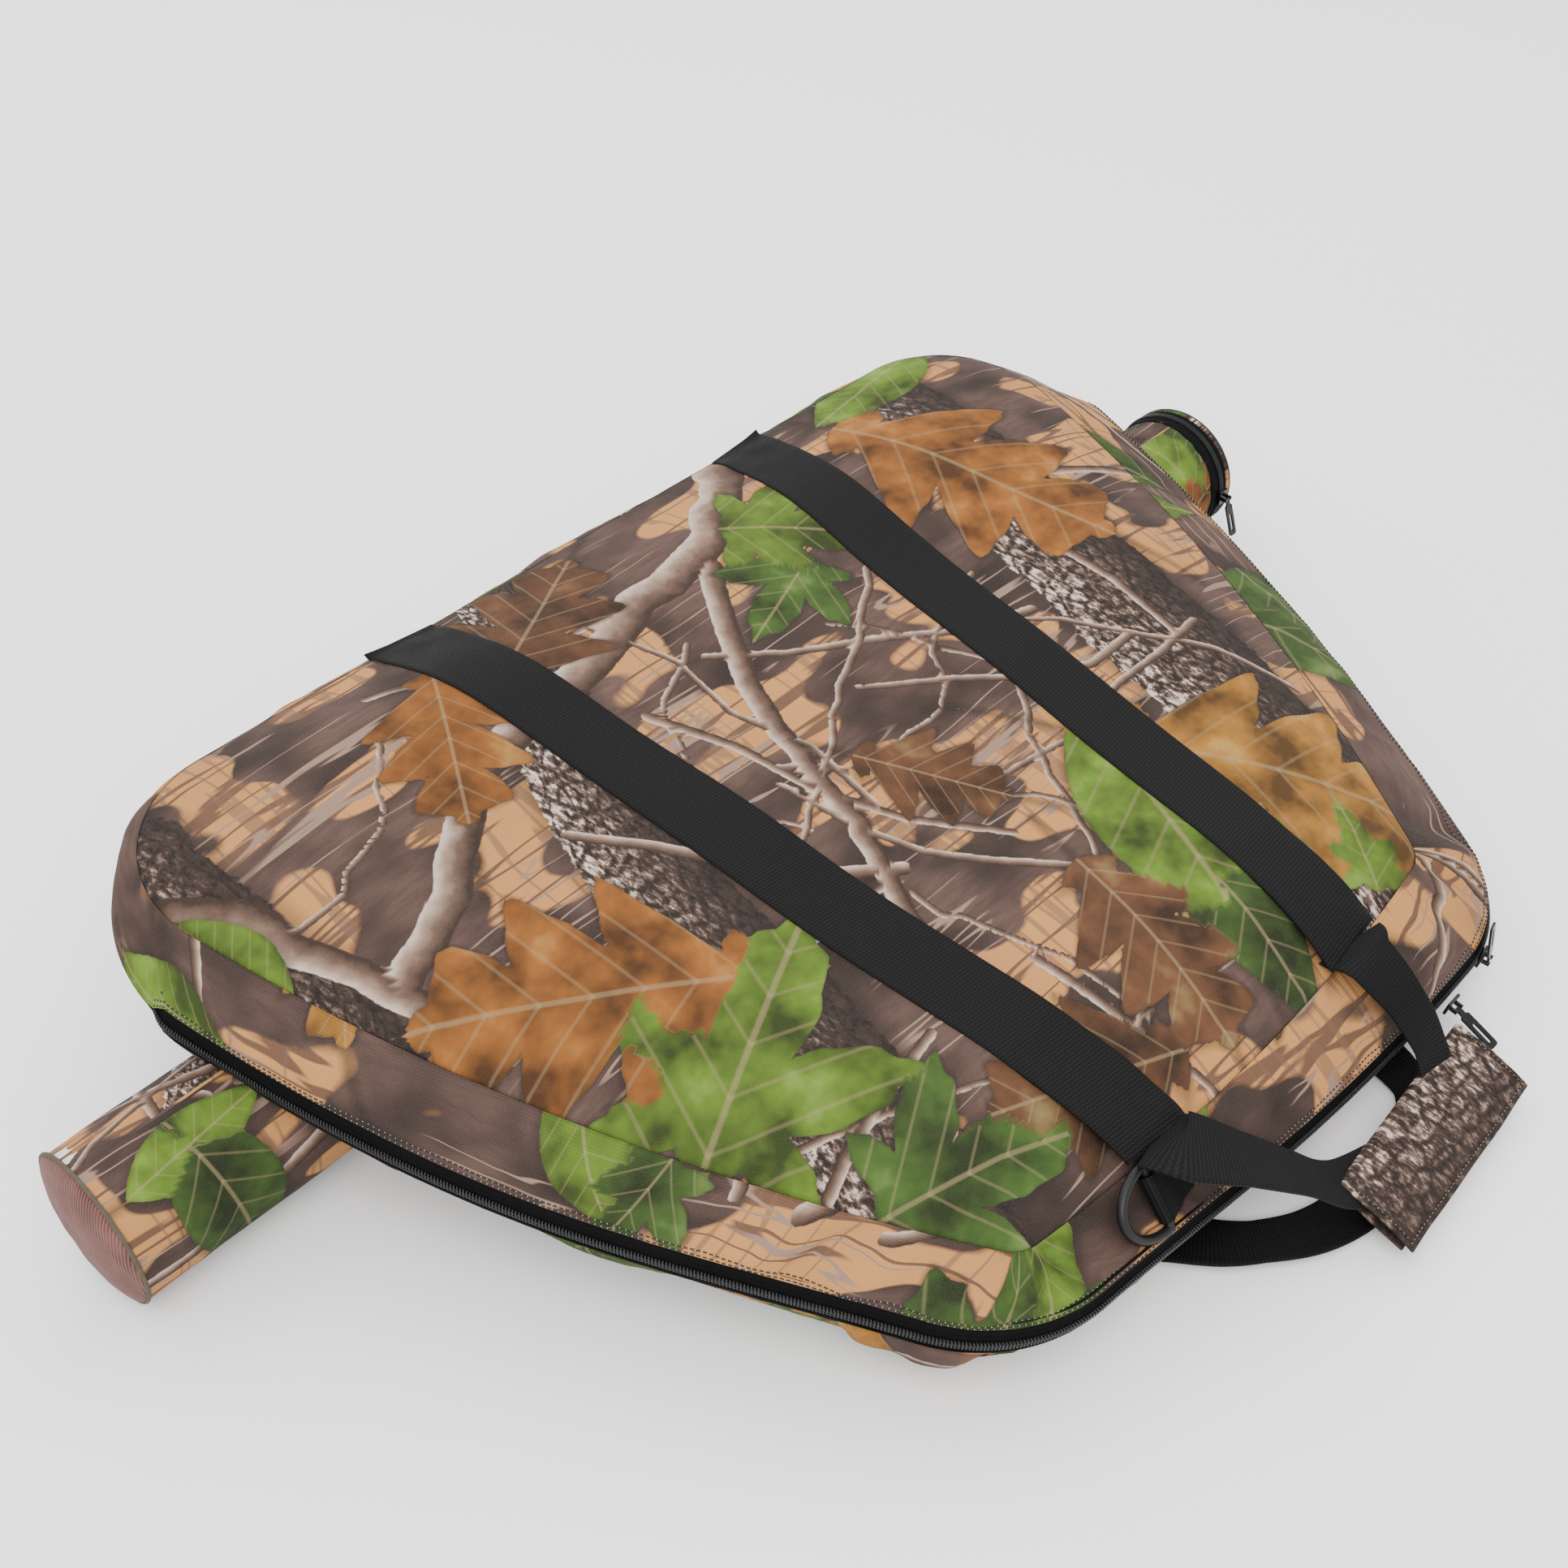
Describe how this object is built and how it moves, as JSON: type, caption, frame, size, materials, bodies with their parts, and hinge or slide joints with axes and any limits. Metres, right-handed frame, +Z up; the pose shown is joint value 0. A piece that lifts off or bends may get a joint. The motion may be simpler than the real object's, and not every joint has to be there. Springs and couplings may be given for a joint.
{
  "type": "soft compound bow case with arrow tube",
  "caption": "Soft camouflage bow case lying flat on a sewn-on arrow tube, with a hinged zip-round lid, webbing carry handles and a hook-and-loop grip wrap.",
  "frame": {"origin": "centre of the whole part's footprint, on the surface it lies on", "axes": "+X along the arrow tube towards its zip-open end, +Y towards the lid's hinge edge, +Z up"},
  "size_m": [1.016, 0.6898, 0.1688],
  "materials": {
    "camo_face": "printed oxford weave",
    "camo_gusset": "printed oxford weave",
    "camo_back": "printed oxford weave",
    "camo_tube": "printed oxford weave",
    "camo_wrap": "printed oxford weave",
    "lining": "plain lining cloth over foam",
    "webbing": "ribbed webbing",
    "zip_tape": "zipper tape",
    "zip_teeth": "nylon coil",
    "slider_metal": "black lacquer",
    "ring_plastic": "moulded",
    "tube_plastic": "extruded tube",
    "mesh": "ribbed mesh cloth",
    "hook_loop": "loop pile"
  },
  "bodies": {
    "case_back": {"back_gusset": "camo_gusset", "back_panel": "camo_back", "back_lining": "lining", "back_strap_left": "webbing", "back_strap_right": "webbing", "back_zip_tape": "zip_tape", "back_zip_teeth": "zip_teeth", "hinge_piping": "webbing", "tube_sleeve": "camo_tube", "tube_liner": "tube_plastic", "tube_mesh_end": "mesh", "tube_rim_teeth": "zip_teeth"},
    "lid": {"front_panel": "camo_face", "front_lining": "lining", "front_gusset": "camo_gusset", "front_strap_left": "webbing", "front_strap_right": "webbing", "front_zip_tape": "zip_tape", "front_zip_teeth": "zip_teeth", "d_ring_tab": "webbing"},
    "front_handle": {"handle_front_leg_left": "webbing", "handle_front_leg_right": "webbing", "handle_front_grip": "webbing", "handle_wrap": "camo_wrap", "wrap_loop_strip": "hook_loop"},
    "wrap_cover": {"wrap_flap": "camo_wrap"},
    "back_handle": {"handle_back": "webbing"},
    "ring": {"d_ring": "ring_plastic"},
    "zip_slider_a": {"slider_a": "slider_metal"},
    "zip_slider_b": {"slider_b": "slider_metal"},
    "zip_pull_a": {"pull_a": "slider_metal"},
    "zip_pull_b": {"pull_b": "slider_metal"},
    "tube_cap": {"tube_lid_disc": "camo_tube", "tube_lid_band": "camo_tube", "tube_lid_teeth": "zip_teeth"},
    "tube_zip_slider": {"tube_slider": "slider_metal"},
    "tube_zip_pull": {"tube_pull": "slider_metal"}
  },
  "joints": [
    {"name": "lid_hinge", "type": "hinge", "parent": "case_back", "child": "lid", "pos_m": [0.011, 0.34309, 0.13732], "axis": [-1, 0, 0], "range_deg": [0, 165]},
    {"name": "front_handle_swing", "type": "hinge", "parent": "lid", "child": "front_handle", "pos_m": [0.011, -0.22811, 0.08386], "axis": [-1, 0, 0], "range_deg": [0, 98]},
    {"name": "back_handle_swing", "type": "hinge", "parent": "case_back", "child": "back_handle", "pos_m": [0.011, -0.2576, 0.0011], "axis": [-1, 0, 0], "range_deg": [0, 42]},
    {"name": "wrap_opening", "type": "hinge", "parent": "front_handle", "child": "wrap_cover", "pos_m": [0.07104, -0.29115, 0.03429], "axis": [-0.9976, -0.0698, 0], "range_deg": [0, 100]},
    {"name": "ring_swing", "type": "hinge", "parent": "lid", "child": "ring", "pos_m": [-0.104, -0.23801, 0.07095], "axis": [0, 0.6157, 0.788], "range_deg": [0, 75]},
    {"name": "slider_a_travel", "type": "hinge", "parent": "case_back", "child": "zip_slider_a", "pos_m": [0.19251, -0.16537, 0.044], "axis": [0, -0.1805, 0.9836], "range_deg": [0, 38]},
    {"name": "slider_b_travel", "type": "slide", "parent": "case_back", "child": "zip_slider_b", "axis": [-1, 0, 0], "range_m": [0, 0.28]},
    {"name": "pull_a_swing", "type": "hinge", "parent": "zip_slider_a", "child": "zip_pull_a", "pos_m": [0.21518, -0.27023, 0.02475], "axis": [0.9781, 0.2045, 0.0375], "range_deg": [0, 85]},
    {"name": "pull_b_swing", "type": "hinge", "parent": "zip_slider_b", "child": "zip_pull_b", "pos_m": [0.167, -0.27597, 0.0237], "axis": [-1, 0, 0], "range_deg": [0, 85]},
    {"name": "tube_cap_hinge", "type": "hinge", "parent": "case_back", "child": "tube_cap", "pos_m": [0.494, 0.221, 0.049], "axis": [0, 0, 1], "range_deg": [0, 100]},
    {"name": "tube_slider_travel", "type": "hinge", "parent": "case_back", "child": "tube_zip_slider", "pos_m": [0.494, 0.1714, 0.049], "axis": [-1, 0, 0], "range_deg": [0, 120]},
    {"name": "tube_pull_swing", "type": "hinge", "parent": "tube_zip_slider", "child": "tube_zip_pull", "pos_m": [0.494, 0.116, 0.049], "axis": [-1, 0, 0], "range_deg": [0, 60]}
  ],
  "couplings": [
    {"joint": "back_handle_swing", "follows": "front_handle_swing", "ratio": 0.4}
  ]
}
